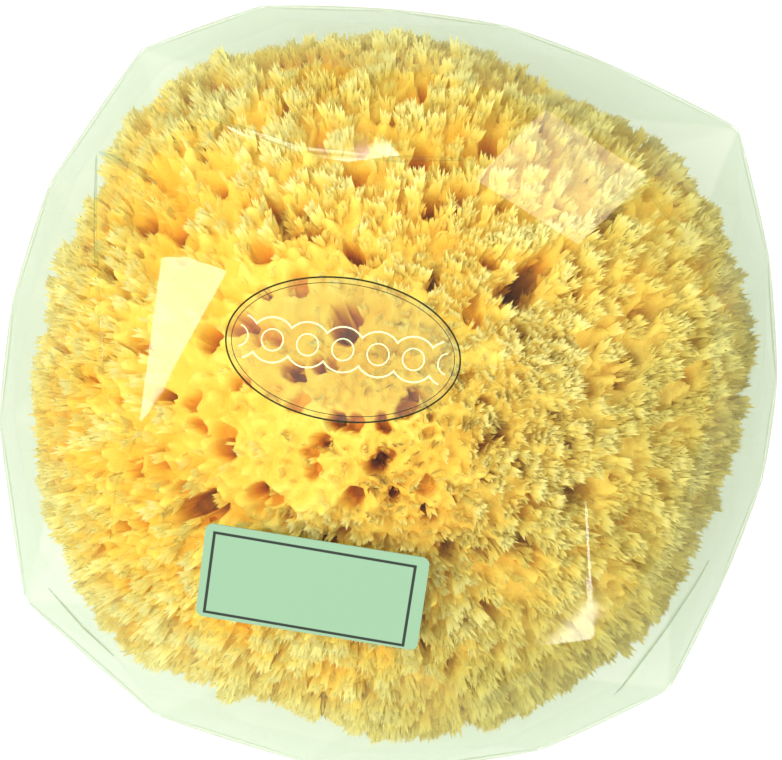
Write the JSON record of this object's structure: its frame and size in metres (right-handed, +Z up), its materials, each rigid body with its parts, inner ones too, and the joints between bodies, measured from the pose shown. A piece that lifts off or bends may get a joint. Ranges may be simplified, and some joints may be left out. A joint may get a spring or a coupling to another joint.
{
  "type": "sea sponge",
  "caption": "Natural bath sponge of the honeycomb kind, a domed body full of pores, resting on its cut base in a clear film bag with two blank labels.",
  "frame": {"origin": "middle of the bag's flat underside, on the surface that the sponge rests on", "axes": "+Z up through the crown of the sponge, +Y to the side furthest from the rectangular label, +X to the right with the labels upright"},
  "size_m": [0.1716, 0.1674, 0.0907],
  "materials": {
    "spongin": "dry matt fibre, pale straw yellow at the tufts and amber deep in the pores",
    "clear_film": "clear glossy cellulose film, creased",
    "green_paper": "satin coated paper label with a thin black border line",
    "clear_label": "clear glossy film label with two thin black oval lines"
  },
  "bodies": {
    "root": {"sponge": "spongin", "bag": "clear_film", "rectangular_label": "green_paper", "oval_label": "clear_label"}
  },
  "joints": []
}
